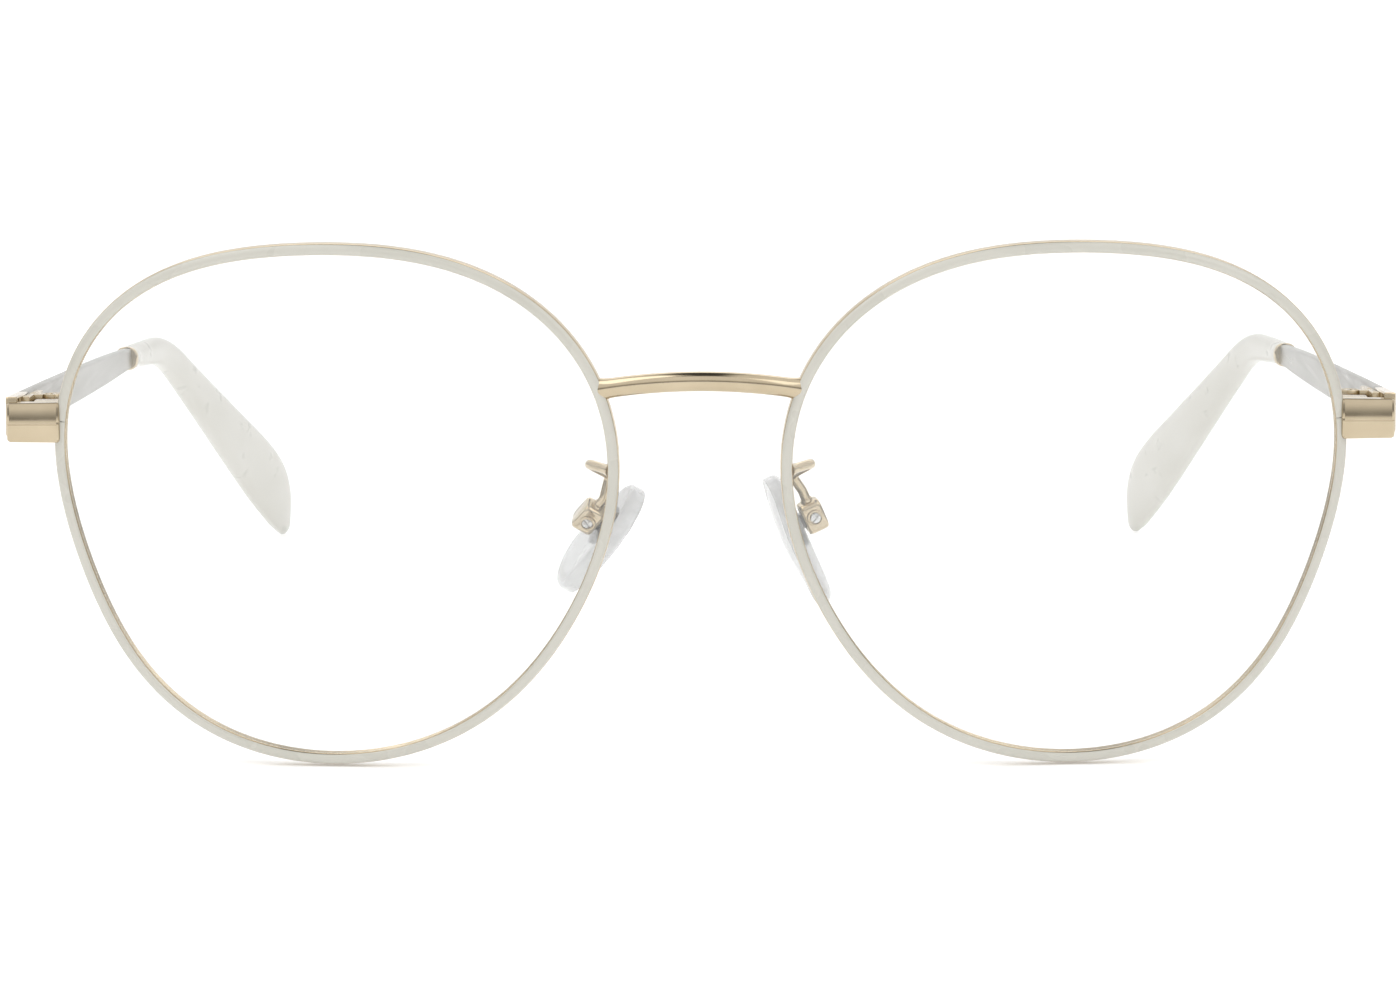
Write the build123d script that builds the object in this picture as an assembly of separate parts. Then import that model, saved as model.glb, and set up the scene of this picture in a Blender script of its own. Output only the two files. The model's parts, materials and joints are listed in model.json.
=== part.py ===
from build123d import *
import math
import os

# Wire eyeglasses with full metal eye rims, clear lenses, block end pieces,
# three-barrel hinges, slim temples with acetate tips, and nose pads on arms.
# Millimetres. +X is the wearer's left, +Y runs back along the temples, +Z is up.
# The glasses stand on their rims and temple tips; the origin is at the middle
# of their box, on the table. Every +X sub-part has a mirrored twin on -X.

# Where the front stands
EYE_X = 37.05  # centre of each eye rim from the middle of the nose
EYE_Z = 27.7  # height of that centre above the table
FRONT_Y = -69.9  # front of each lens at its centre
BASE_CURVE = 133.0  # radius of the front surface of rims and lenses
FACE_WRAP = 4.0  # degrees: the outer edge of each rim swings back
FRONT_LEAN = 2.0  # degrees: the top of each rim leans forward

# Eye outline, along the middle of the wire: a circle and a few harmonics that
# pull out the upper corners, flatten the top and taper the bottom
MEAN_RADIUS = 27.28
HARMONICS = {2: (0.73, 0.11), 3: (-0.27, 1.16), 4: (-0.34, 0.12), 5: (-0.09, 0.14)}
OUTLINE_POINTS = 36

# Rim wire and lens
RIM_WIDTH = 1.15  # across the front face
RIM_DEPTH = 1.8
GROOVE_DEPTH = 0.4
GROOVE_WIDTH = 0.9
LENS_THICKNESS = 1.4
LENS_GAP = 0.04
BEVEL_WIDTH = 0.7

# Hinge frame: the screw axis stands square to the temple
HINGE_X = 66.1
HINGE_Y = FRONT_Y + 12.6
HINGE_Z = EYE_Z + 7.43
TEMPLE_SLOPE = 4.3  # degrees: temples fall towards the back
TEMPLE_TOE = 1.4  # degrees: temples close in towards the back
BARREL_RADIUS = 1.15
BARREL_STACK = 3.6  # height of the three barrels together
MIDDLE_BARREL = 1.3
BARREL_GAP = 0.05
SCREW_RADIUS = 0.6
SCREW_HEAD_RADIUS = 0.85
SCREW_HEAD = 0.4
DRIVER_SLOT = (2.0, 0.3, 0.3)
RUNNING_FIT = 0.05
SNUG_FIT = 0.02
LEAF_INNER = 1.8  # from the screw axis out to the hinge leaf
LEAF_LENGTH = 5.0
FRONT_LEAF = 4.2
ARM_INNER = 2.55  # from the screw axis out to the temple's inner face
ARM_THICKNESS = 1.2
ARM_HEIGHT = 4.0

# End piece, in front of the hinge
BLOCK_INNER_X = 64.6
BLOCK_OUTER_X = 69.85
BLOCK_FRONT_Y = FRONT_Y + 4.3
BLOCK_THICKNESS = 1.5
BLOCK_HEIGHT = 4.1
BLOCK_FACET = 0.28  # how far the upper and lower edges of its face fall back
BLOCK_RIDGE = -0.1  # height of the ridge on its face, from mid-height

# Rim lock: two closing blocks behind the end piece, drawn together by a screw
LOCK_OUTER_X = 67.3
LOCK_DEPTH = 2.2
LOCK_HEIGHT = 1.8
LOCK_SPLIT = 0.3
LOCK_SCREW_X = 66.35
LOCK_SCREW_CAP = 0.4  # closed end of the threaded hole

# Temple: distances run back from the screw axis
RING_AT = 79.4
ARM_STATIONS = ((0.05, 4.0), (18.5, 3.85), (57.5, 3.15), (RING_AT, 2.3))  # distance, height
CORE_RADIUS = 0.6
CORE_SHARE = 0.75  # how much of the drop the core wire fills
RING_LENGTH = 1.45
RING_RADII = (1.35, 1.4)

# Line of the temple tip in the hinge frame: it turns in, then drops
TIP_TURN = (3.15, 82.4, 0.0)
TIP_BEND = (1.3, 95.4, 0.0)
TIP_END = (-10.3, 130.4, -22.85)
TIP_TURN_RADIUS = 30.0
TIP_BEND_RADIUS = 15.0

# Sections of the tip: distance behind the ring, width, thickness, offset, twist
TIP_SECTIONS = (
    (0.05, 2.5, 2.4, 0.0, 0.0),
    (7.0, 2.9, 2.5, 0.0, 0.0),
    (16.0, 3.5, 2.6, 0.0, 0.0),
    (26.0, 4.6, 2.7, 0.0, 4.0),
    (38.0, 6.2, 2.7, 0.0, 8.0),
    (48.0, 7.3, 2.7, 0.0, 10.0),
    (53.0, 6.9, 2.5, -0.3, 10.0),
    (56.5, 5.2, 2.1, -1.1, 10.0),
    (59.0, 2.4, 1.4, -2.2, 10.0),
)

# Bridge bar between the rims
BRIDGE_END_X = 10.6
BRIDGE_END_Y = FRONT_Y + 1.9
BRIDGE_END_Z = EYE_Z + 11.0
BRIDGE_MID_Y = FRONT_Y + 0.6
BRIDGE_MID_Z = EYE_Z + 12.05
BRIDGE_HEIGHT = 2.0
BRIDGE_DEPTH = 1.7

# Nose pads. The pad frame stands at the pad screw: its x points at the nose,
# its y up along the pad, and the pad rocks about its z
PAD_X = 11.4
PAD_Y = FRONT_Y + 8.5
PAD_Z = EYE_Z - 2.9
BOX_SIZE = (2.2, 3.3, 2.3)
BOX_CORNER = 0.35
BOX_SLOT = (1.95, 2.5, 1.2)
STEM = (1.4, 1.5, 1.1)
PAD_BACK = 1.55
PAD_THICKNESS = 2.4
PAD_CROWN = 24.0  # radius of its face along its length
PAD_TOP = 5.6
PAD_BOTTOM = -8.8
PAD_TOP_RADIUS = 2.9
PAD_BOTTOM_RADIUS = 3.7
PAD_EDGE = 0.7
PAD_SCREW_RADIUS = 0.4
PAD_HEAD_RADIUS = 0.7
PAD_HEAD = 0.3
INSERT_PLATE = (0.6, 5.0, 2.8)
# How each pad was adjusted, in degrees: spread is how far its foot stands out,
# tilt how far it stands back, twist how far its front edge turns in
PAD_LEFT = (22.5, 8.0, -9.0)
PAD_RIGHT = (39.0, 27.0, 14.0)

# Pad arm: x, then back from the lens and up from the eye centre
PAD_ARM_ROUTE = ((8.95, 2.75, 2.7), (11.4, 4.9, 3.1), (9.2, 7.3, 1.5))
PAD_ARM_LEAD = 1.2  # straight into the pad box
PAD_ARM_RADIUS = 0.5
PAD_ARM_BEND = 0.6


def outline_point(angle, offset=0.0):
    """A point of the eye outline, moved out square to it by offset."""
    radius = MEAN_RADIUS
    slope = 0.0
    for order, (c, s) in HARMONICS.items():
        radius += c * math.cos(order * angle) + s * math.sin(order * angle)
        slope += order * (s * math.cos(order * angle) - c * math.sin(order * angle))
    length = math.hypot(radius, slope)
    out_x = (radius * math.cos(angle) + slope * math.sin(angle)) / length
    out_y = (radius * math.sin(angle) - slope * math.cos(angle)) / length
    return (
        radius * math.cos(angle) + offset * out_x,
        radius * math.sin(angle) + offset * out_y,
    )


def outline_prism(offset):
    """A straight prism on the eye outline, through the curved rim."""
    step = 2 * math.pi / OUTLINE_POINTS
    points = [outline_point(step * i, offset) for i in range(OUTLINE_POINTS)]
    face = make_face(Spline(*points, periodic=True))
    return Pos(0, 0, -9) * extrude(face, 10)


def ball(depth):
    """Everything deeper than depth below the base curve, poles out of the way."""
    return Pos(0, 0, -BASE_CURVE) * Rot(90, 0, 0) * Sphere(BASE_CURVE - depth)


def shell(offset, front, back):
    """The outline prism, moved out by offset, between two depths."""
    return (outline_prism(offset) & ball(front)) - ball(back)


def eye_plane():
    """x towards the temple, y up the lens, z out of its front."""
    wrap, lean = math.radians(FACE_WRAP), math.radians(FRONT_LEAN)
    outwards = Vector(math.cos(wrap), math.sin(wrap), 0)
    upwards = Vector(0, -math.sin(lean), math.cos(lean))
    return Plane((EYE_X, FRONT_Y, EYE_Z), x_dir=outwards, z_dir=outwards.cross(upwards))


def hinge_plane():
    """x outwards, y back along the temple, z up the hinge screw."""
    frame = Pos(HINGE_X, HINGE_Y, HINGE_Z) * Rot(-TEMPLE_SLOPE, 0, 0) * Rot(0, 0, TEMPLE_TOE)
    return Plane(frame)


def block(x, y, z):
    """A box given by its ranges along x, y and z."""
    size = [high - low for low, high in (x, y, z)]
    middle = [(high + low) / 2 for low, high in (x, y, z)]
    return Pos(*middle) * Box(*size)


def rod(radius, low, high):
    """A cylinder along z between two heights."""
    return Pos(0, 0, (low + high) / 2) * Cylinder(radius, high - low)


def side_plane(origin):
    """A plane facing +X, with its x along +Y."""
    return Plane(origin, x_dir=(0, 1, 0), z_dir=(1, 0, 0))


# ---- eye rim, lens and rim lock -------------------------------------------


def lock_ranges():
    """x and y ranges of the closing blocks."""
    front = BLOCK_FRONT_Y + BLOCK_THICKNESS
    return (BLOCK_INNER_X - 1, LOCK_OUTER_X), (front, front + LOCK_DEPTH)


def rim_ring():
    """The closed ring of the eye rim, before the groove and the split."""
    half = RIM_WIDTH / 2
    return shell(half, 0, RIM_DEPTH) - outline_prism(-half)


def eye_rim():
    half = RIM_WIDTH / 2
    middle = RIM_DEPTH / 2
    groove = shell(GROOVE_DEPTH - half, middle - GROOVE_WIDTH / 2, middle + GROOVE_WIDTH / 2)
    ring = eye_plane() * (rim_ring() - groove)
    split = LOCK_SPLIT / 2
    x, y = (EYE_X + 20, EYE_X + 40), (FRONT_Y, FRONT_Y + 12)
    gap = block(x, y, (HINGE_Z - split, HINGE_Z + split))
    return ring - gap - end_block(SNUG_FIT)


def lens():
    half = RIM_WIDTH / 2
    middle = RIM_DEPTH / 2
    front, back = middle - LENS_THICKNESS / 2, middle + LENS_THICKNESS / 2
    body = shell(-half - LENS_GAP, front, back)
    bevel = BEVEL_WIDTH / 2
    tongue = shell(GROOVE_DEPTH - half - 2 * LENS_GAP, middle - bevel, middle + bevel)
    return eye_plane() * (body + tongue)


def lock_half(side):
    """One closing block: side is 1 for the upper one and -1 for the lower."""
    near = LOCK_SPLIT / 2
    heights = sorted((HINGE_Z + side * near, HINGE_Z + side * (near + LOCK_HEIGHT)))
    x, y = lock_ranges()
    body = block(x, y, heights) - eye_plane() * outline_prism(RIM_WIDTH / 2 + SNUG_FIT)
    far = near + LOCK_HEIGHT
    centre = Pos(LOCK_SCREW_X, sum(y) / 2, HINGE_Z)
    body -= centre * rod(SCREW_RADIUS + SNUG_FIT, -far - 1, far - LOCK_SCREW_CAP)
    if side < 0:
        body -= centre * rod(SCREW_HEAD_RADIUS + SNUG_FIT, -far - 1, SCREW_HEAD - far)
    return body


def lock_screw():
    y = lock_ranges()[1]
    far = LOCK_SPLIT / 2 + LOCK_HEIGHT
    head = rod(SCREW_HEAD_RADIUS, -far, SCREW_HEAD - far)
    shank = rod(SCREW_RADIUS, -far, far - LOCK_SCREW_CAP - 0.1)
    slot = Pos(0, 0, -far) * Box(*DRIVER_SLOT)
    return Pos(LOCK_SCREW_X, sum(y) / 2, HINGE_Z) * (head + shank - slot)


# ---- end piece and hinge ---------------------------------------------------


def end_block(grow=0.0):
    """The faceted block at the corner of the front."""
    low, high = -BLOCK_HEIGHT / 2 - grow, BLOCK_HEIGHT / 2 + grow
    facet = BLOCK_FACET
    back = BLOCK_THICKNESS + grow
    corners = ((0, BLOCK_RIDGE), (facet, high), (back, high), (back, low), (facet / 2, low))
    profile = Polyline(*corners, close=True)
    section = side_plane((BLOCK_INNER_X - grow, BLOCK_FRONT_Y, HINGE_Z))
    return extrude(section * make_face(profile), BLOCK_OUTER_X - BLOCK_INNER_X + grow)


def end_piece():
    """The block, and the arm that runs back from it to the hinge."""
    face = end_block()
    arm = block(
        (ARM_INNER, ARM_INNER + ARM_THICKNESS),
        (BLOCK_FRONT_Y - HINGE_Y + 0.6, 0),
        (-ARM_HEIGHT / 2, ARM_HEIGHT / 2),
    )
    return face + hinge_plane() * arm


def barrel_heights():
    """Height ranges of the lower, middle and upper barrel."""
    half, middle = BARREL_STACK / 2, MIDDLE_BARREL / 2
    return (-half, -middle - BARREL_GAP), (-middle, middle), (middle + BARREL_GAP, half)


def knuckle(heights, side):
    """A barrel and its web out to the leaf: side is -1 in front, 1 behind."""
    web = block((0, ARM_INNER), sorted((0, side * BARREL_RADIUS)), heights)
    return rod(BARREL_RADIUS, *heights) + web


def hinge_front():
    """Two barrels on a leaf inside the end piece's arm."""
    lower, _, upper = barrel_heights()
    half = BARREL_STACK / 2
    leaf = block((LEAF_INNER, ARM_INNER), (-FRONT_LEAF, 0), (-half, half))
    body = leaf + knuckle(lower, -1) + knuckle(upper, -1)
    body -= block((-2, LEAF_INNER), (-2, 2), (lower[1], upper[0]))
    body -= rod(SCREW_RADIUS + SNUG_FIT, -BARREL_STACK, BARREL_STACK)
    body -= rod(SCREW_HEAD_RADIUS + SNUG_FIT, half - SCREW_HEAD, BARREL_STACK)
    return hinge_plane() * body


def hinge_back():
    """One barrel on a leaf inside the temple."""
    middle = barrel_heights()[1]
    half = BARREL_STACK / 2
    leaf = block((LEAF_INNER, ARM_INNER), (RUNNING_FIT, LEAF_LENGTH), (-half, half))
    hole = rod(SCREW_RADIUS + RUNNING_FIT, -half, half)
    return hinge_plane() * (leaf + knuckle(middle, 1) - hole)


def hinge_screw():
    half = BARREL_STACK / 2
    body = rod(SCREW_RADIUS, -half, half) + rod(SCREW_HEAD_RADIUS, half - SCREW_HEAD, half)
    slot = Pos(0, 0, half) * Box(*DRIVER_SLOT)
    return hinge_plane() * (body - slot)


# ---- temple ----------------------------------------------------------------


def tip_path(share=1.0):
    """The line of the tip in the hinge frame, down to a share of its drop."""
    turn, bend = Vector(*TIP_TURN), Vector(*TIP_BEND)
    end = bend + (Vector(*TIP_END) - bend) * share
    start = Vector(turn.X, RING_AT - 2, turn.Z)
    return FilletPolyline(start, turn, bend, end, radius=(TIP_TURN_RADIUS, TIP_BEND_RADIUS))


def core_wire(radius):
    path = tip_path(CORE_SHARE)
    start = Plane(path @ 0, z_dir=path % 0)
    return sweep(start * Circle(radius), path=path)


def temple_bar():
    """Flat bar that thins towards the ring, and the core wire in the tip."""
    upper = [(distance, height / 2) for distance, height in ARM_STATIONS]
    lower = [(distance, -height / 2) for distance, height in reversed(ARM_STATIONS)]
    edges = [Spline(*upper), Line(upper[-1], lower[0]), Spline(*lower), Line(lower[-1], upper[0])]
    bar = extrude(side_plane((ARM_INNER, 0, 0)) * make_face(edges), ARM_THICKNESS)
    return hinge_plane() * (bar + core_wire(CORE_RADIUS))


def tip_section(path, distance, width, thickness, offset, twist):
    """An oval across the tip, its width upright but for the twist."""
    place = (distance + 2) / path.length
    along = path % place
    upright = (Vector(0, 0, 1) - along * along.Z).normalized()
    across = Plane(path @ place, x_dir=upright, z_dir=along)
    return across * (Rot(0, 0, -twist) * Pos(offset, 0, 0) * Ellipse(width / 2, thickness / 2))


def temple_tip():
    """Acetate sleeve that widens to a slanted paddle."""
    path = tip_path()
    sections = [tip_section(path, *station) for station in TIP_SECTIONS]
    sleeve = loft(Sketch() + sections)
    return hinge_plane() * (sleeve - core_wire(CORE_RADIUS + SNUG_FIT))


def tip_ring():
    """Metal ring where the bar enters the tip."""
    centre = (ARM_INNER + ARM_THICKNESS / 2, RING_AT - RING_LENGTH, 0)
    start = Plane(centre, x_dir=(1, 0, 0), z_dir=(0, 1, 0))
    return hinge_plane() * extrude(start * Ellipse(*RING_RADII), RING_LENGTH) - temple_bar()


# ---- bridge and nose pads --------------------------------------------------


def bridge():
    """Arched bar that butts against both rims."""
    path = ThreePointArc(
        (-BRIDGE_END_X, BRIDGE_END_Y, BRIDGE_END_Z),
        (0, BRIDGE_MID_Y, BRIDGE_MID_Z),
        (BRIDGE_END_X, BRIDGE_END_Y, BRIDGE_END_Z),
    )
    start = Plane(path @ 0, x_dir=(0, 0, 1), z_dir=path % 0)
    bar = sweep(start * Ellipse(BRIDGE_HEIGHT / 2, BRIDGE_DEPTH / 2), path=path)
    cut = eye_plane() * outline_prism(RIM_WIDTH / 2)
    return bar - cut - mirror(cut, about=Plane.YZ)


def pad_plane(spread, tilt, twist):
    """Frame of one nose pad, turned by its spread, tilt and twist."""
    spread, tilt, twist = (math.radians(angle) for angle in (spread, tilt, twist))
    up = Vector(-math.sin(spread) * math.cos(tilt), -math.sin(tilt), math.cos(spread) * math.cos(tilt))
    level = Vector(0, 1, 0).cross(up).normalized()
    towards_nose = (up.cross(level) * math.sin(twist) - level * math.cos(twist)).normalized()
    return Plane((PAD_X, PAD_Y, PAD_Z), x_dir=towards_nose, z_dir=towards_nose.cross(up))


def pad_outline():
    top = Pos(0, PAD_TOP - PAD_TOP_RADIUS) * Circle(PAD_TOP_RADIUS)
    bottom = Pos(0, PAD_BOTTOM + PAD_BOTTOM_RADIUS) * Circle(PAD_BOTTOM_RADIUS)
    return make_hull((top + bottom).edges())


def insert_plate(grow=0.0):
    thickness, height, width = (size + grow for size in INSERT_PLATE)
    x = (PAD_BACK - grow, PAD_BACK + thickness)
    return block(x, (-height / 2, height / 2), (-width / 2, width / 2))


def nose_pad(plane):
    """Soft pad with rounded edges, moulded round the insert's plate."""
    face = Plane((PAD_BACK, 0, 0), x_dir=(0, 0, -1), z_dir=(1, 0, 0))
    centre = (PAD_BACK + PAD_THICKNESS - PAD_CROWN, (PAD_TOP + PAD_BOTTOM) / 2)
    crown = Pos(*centre) * Cylinder(PAD_CROWN, 20)
    body = extrude(face * pad_outline(), PAD_THICKNESS) & crown
    body = fillet(body.edges(), PAD_EDGE)
    return plane * (body - insert_plate(SNUG_FIT))


def pad_insert(plane):
    """Plate inside the pad, with the stem that the pad screw holds."""
    length, height, width = STEM
    stem = block((-length / 2, PAD_BACK + 0.1), (-height / 2, height / 2), (-width / 2, width / 2))
    return plane * (insert_plate() + stem - rod(PAD_SCREW_RADIUS + RUNNING_FIT, -2, 2))


def pad_box(plane):
    """Open box on the end of the pad arm."""
    depth, height, width = BOX_SLOT
    outside = Box(*BOX_SIZE)
    outside = fillet(outside.edges().filter_by(Axis.X), BOX_CORNER)
    mouth = BOX_SIZE[0] / 2
    slot = block((mouth - depth, mouth + 1), (-height / 2, height / 2), (-width / 2, width / 2))
    return plane * (outside - slot - rod(PAD_SCREW_RADIUS + SNUG_FIT, -2, 2))


def pad_screw(plane):
    face = -BOX_SIZE[2] / 2
    head = rod(PAD_HEAD_RADIUS, face - PAD_HEAD, face)
    shank = rod(PAD_SCREW_RADIUS, face - PAD_HEAD, -face)
    slot = Pos(0, 0, face - PAD_HEAD) * Rot(0, 0, 90) * Box(*DRIVER_SLOT)
    return plane * (head + shank - slot)


def pad_arm(plane):
    """Wire from the back of the rim, out in a loop and down to the pad box."""
    lid = BOX_SIZE[1] / 2
    corners = [Vector(x, FRONT_Y + y, EYE_Z + z) for x, y, z in PAD_ARM_ROUTE]
    corners += [plane.from_local_coords((0, lid + lead, 0)) for lead in (PAD_ARM_LEAD, 0)]
    path = FilletPolyline(*corners, radius=PAD_ARM_BEND)
    start = Plane(path @ 0, z_dir=path % 0)
    wire = sweep(start * Circle(PAD_ARM_RADIUS), path=path)
    return wire - eye_plane() * rim_ring()


SIDED_PARTS = {
    "eye_rim": eye_rim,
    "lens": lens,
    "rim_lock_screw": lock_screw,
    "end_piece": end_piece,
    "hinge_front": hinge_front,
    "hinge_back": hinge_back,
    "hinge_screw": hinge_screw,
    "temple_bar": temple_bar,
    "tip_ring": tip_ring,
    "temple_tip": temple_tip,
}
PAD_PARTS = {
    "nose_pad": nose_pad,
    "pad_insert": pad_insert,
    "pad_box": pad_box,
    "pad_screw": pad_screw,
    "pad_arm": pad_arm,
}


def main():
    os.makedirs("parts", exist_ok=True)
    shapes = {name: make() for name, make in SIDED_PARTS.items()}
    shapes["rim_lock_upper"] = lock_half(1)
    shapes["rim_lock_lower"] = lock_half(-1)
    for name, shape in shapes.items():
        export_step(shape, f"parts/{name}_left.step")
        export_step(mirror(shape, about=Plane.YZ), f"parts/{name}_right.step")
    for name, make in PAD_PARTS.items():
        export_step(make(pad_plane(*PAD_LEFT)), f"parts/{name}_left.step")
        export_step(mirror(make(pad_plane(*PAD_RIGHT)), about=Plane.YZ), f"parts/{name}_right.step")
    export_step(bridge(), "parts/bridge.step")


main()
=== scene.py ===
import bmesh
import bpy
import json
import math
from mathutils import Matrix, Vector


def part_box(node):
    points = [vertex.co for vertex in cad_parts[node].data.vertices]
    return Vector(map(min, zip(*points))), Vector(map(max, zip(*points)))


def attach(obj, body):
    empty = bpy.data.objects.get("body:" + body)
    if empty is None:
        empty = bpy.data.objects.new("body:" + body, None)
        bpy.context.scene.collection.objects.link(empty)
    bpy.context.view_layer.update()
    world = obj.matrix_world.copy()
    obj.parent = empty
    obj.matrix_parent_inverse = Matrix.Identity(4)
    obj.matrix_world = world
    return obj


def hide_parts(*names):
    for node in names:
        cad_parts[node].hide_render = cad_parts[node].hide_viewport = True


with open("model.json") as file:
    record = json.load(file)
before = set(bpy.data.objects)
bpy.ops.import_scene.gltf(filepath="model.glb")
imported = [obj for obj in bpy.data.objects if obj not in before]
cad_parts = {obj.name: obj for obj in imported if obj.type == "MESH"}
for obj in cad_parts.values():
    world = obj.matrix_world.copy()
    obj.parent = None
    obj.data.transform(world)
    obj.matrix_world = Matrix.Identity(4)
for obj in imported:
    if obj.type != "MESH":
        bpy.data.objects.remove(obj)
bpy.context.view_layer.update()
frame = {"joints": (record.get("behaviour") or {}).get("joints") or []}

# Round wire eyeglasses. Sizes are in millimetres; positions start from the packed
# record and the CAD boxes. Pieces are made for the wearer's left (+X) and mirrored.

MM = 0.001

JOINTS = {joint["name"]: joint for joint in frame["joints"]}
HINGE = Vector(JOINTS["temple_left_fold"]["pos_m"]) / MM
HINGE_AXIS = Vector(JOINTS["temple_left_fold"]["axis"]).normalized()
LENS_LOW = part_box("lens_left")[0] / MM
EYE = Vector((LENS_LOW.x + 28.188, HINGE.y - 12.6, HINGE.z - 7.43))

BASE_CURVE = 133.0
FACE_WRAP = math.radians(4.0)
FRONT_LEAN = math.radians(2.0)
TEMPLE_TOE = math.radians(1.4)
MEAN_RADIUS = 27.28
HARMONICS = {2: (0.73, 0.11), 3: (-0.27, 1.16), 4: (-0.34, 0.12), 5: (-0.09, 0.14)}

RING_AT = 79.4
ARM_STATIONS = ((0.05, 4.0), (18.5, 3.85), (57.5, 3.15), (RING_AT, 2.3))
TIP_TURN = (3.15, 82.4, 0.0)
TIP_BEND = (1.3, 95.4, 0.0)
TIP_END = (-10.3, 130.4, -22.85)
# distance behind the ring, width, thickness, offset, twist
TIP_SECTIONS = (
    (0.05, 2.5, 2.4, 0.0, 0.0),
    (7.0, 2.9, 2.5, 0.0, 0.0),
    (16.0, 3.5, 2.6, 0.0, 0.0),
    (26.0, 4.6, 2.7, 0.0, 4.0),
    (38.0, 6.2, 2.7, 0.0, 8.0),
    (48.0, 7.3, 2.7, 0.0, 10.0),
    (53.0, 6.9, 2.5, -0.3, 10.0),
    (56.5, 5.2, 2.1, -1.1, 10.0),
    (59.0, 2.4, 1.4, -2.2, 10.0),
)
PAD_ADJUST = {"left": (22.5, 8.0, -9.0), "right": (39.0, 27.0, 14.0)}
PAD_ARM_ROUTE = ((8.95, 2.75, 2.7), (11.4, 4.9, 3.1), (9.2, 7.3, 1.5))


# ---- frames ------------------------------------------------------------------


def matrix(origin, x, y, z):
    """A placement from its origin and three axes."""
    rows = [(x[i], y[i], z[i], origin[i]) for i in range(3)]
    return Matrix((*rows, (0, 0, 0, 1)))


def eye_frame():
    """x towards the temple, y up the lens, z out of its front."""
    x = Vector((math.cos(FACE_WRAP), math.sin(FACE_WRAP), 0))
    z = x.cross(Vector((0, -math.sin(FRONT_LEAN), math.cos(FRONT_LEAN)))).normalized()
    return matrix(EYE, x, z.cross(x), z)


def hinge_frame():
    """x outwards, y back along the temple, z up the hinge screw."""
    along = HINGE_AXIS.cross(Vector((1, 0, 0)))
    y = along * math.cos(TEMPLE_TOE) - Vector((1, 0, 0)) * math.sin(TEMPLE_TOE)
    return matrix(HINGE, y.cross(HINGE_AXIS), y, HINGE_AXIS)


def pad_frame(side):
    """x at the nose, y up the pad, z along the pad screw, on the +X side."""
    spread, tilt, twist = (math.radians(angle) for angle in PAD_ADJUST[side])
    up = Vector((-math.sin(spread) * math.cos(tilt), -math.sin(tilt), math.cos(spread) * math.cos(tilt)))
    level = Vector((0, 1, 0)).cross(up).normalized()
    x = (up.cross(level) * math.sin(twist) - level * math.cos(twist)).normalized()
    origin = Vector(JOINTS[f"pad_{side}_rock"]["pos_m"]) / MM
    z = x.cross(up)
    return matrix((abs(origin.x), origin.y, origin.z), x, z.cross(x), z)


EYE_FRAME = eye_frame()
HINGE_FRAME = hinge_frame()


# ---- mesh helpers ------------------------------------------------------------


def skin(bm, rings, closed=False, caps=True, paint=None):
    """Faces between rings of points, which all have the same count."""
    made = [[bm.verts.new(point) for point in ring] for ring in rings]
    count = len(made[0])
    spans = len(made) if closed else len(made) - 1
    for i in range(spans):
        here, there = made[i], made[(i + 1) % len(made)]
        for j in range(count):
            k = (j + 1) % count
            face = bm.faces.new((here[j], here[k], there[k], there[j]))
            if paint:
                face.material_index = paint(i, j)
    if caps and not closed:
        bm.faces.new(list(reversed(made[0])))
        bm.faces.new(made[-1])
    return made


def smooth_values(stations, t):
    """Catmull-Rom through rows whose first value is the position."""
    rows = list(stations)
    i = 0
    while i < len(rows) - 2 and t > rows[i + 1][0]:
        i += 1
    a, b = rows[i], rows[i + 1]
    before, after = rows[max(i - 1, 0)], rows[min(i + 2, len(rows) - 1)]
    span = b[0] - a[0]
    s = min(max((t - a[0]) / span, 0), 1)
    out = []
    for k in range(1, len(a)):
        m0 = (b[k] - before[k]) / (b[0] - before[0]) * span
        m1 = (after[k] - a[k]) / (after[0] - a[0]) * span
        h = (2 * s**3 - 3 * s**2 + 1) * a[k] + (s**3 - 2 * s**2 + s) * m0
        out.append(h + (3 * s**2 - 2 * s**3) * b[k] + (s**3 - s**2) * m1)
    return out


def rounded_rectangle(width, height, radius, steps=4):
    """Points of a rectangle with round corners, anticlockwise."""
    points = []
    for quarter, (sx, sy) in enumerate(((1, 1), (-1, 1), (-1, -1), (1, -1))):
        cx, cy = sx * (width / 2 - radius), sy * (height / 2 - radius)
        for step in range(steps + 1):
            angle = math.pi / 2 * (quarter + step / steps)
            points.append((cx + radius * math.cos(angle), cy + radius * math.sin(angle)))
    return points


def superellipse(width, height, power, count=32):
    """Points of an oval that is squarer the higher its power."""
    points = []
    for i in range(count):
        angle = 2 * math.pi * i / count
        c, s = math.cos(angle), math.sin(angle)
        points.append((
            width / 2 * math.copysign(abs(c) ** (2 / power), c),
            height / 2 * math.copysign(abs(s) ** (2 / power), s),
        ))
    return points


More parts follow.
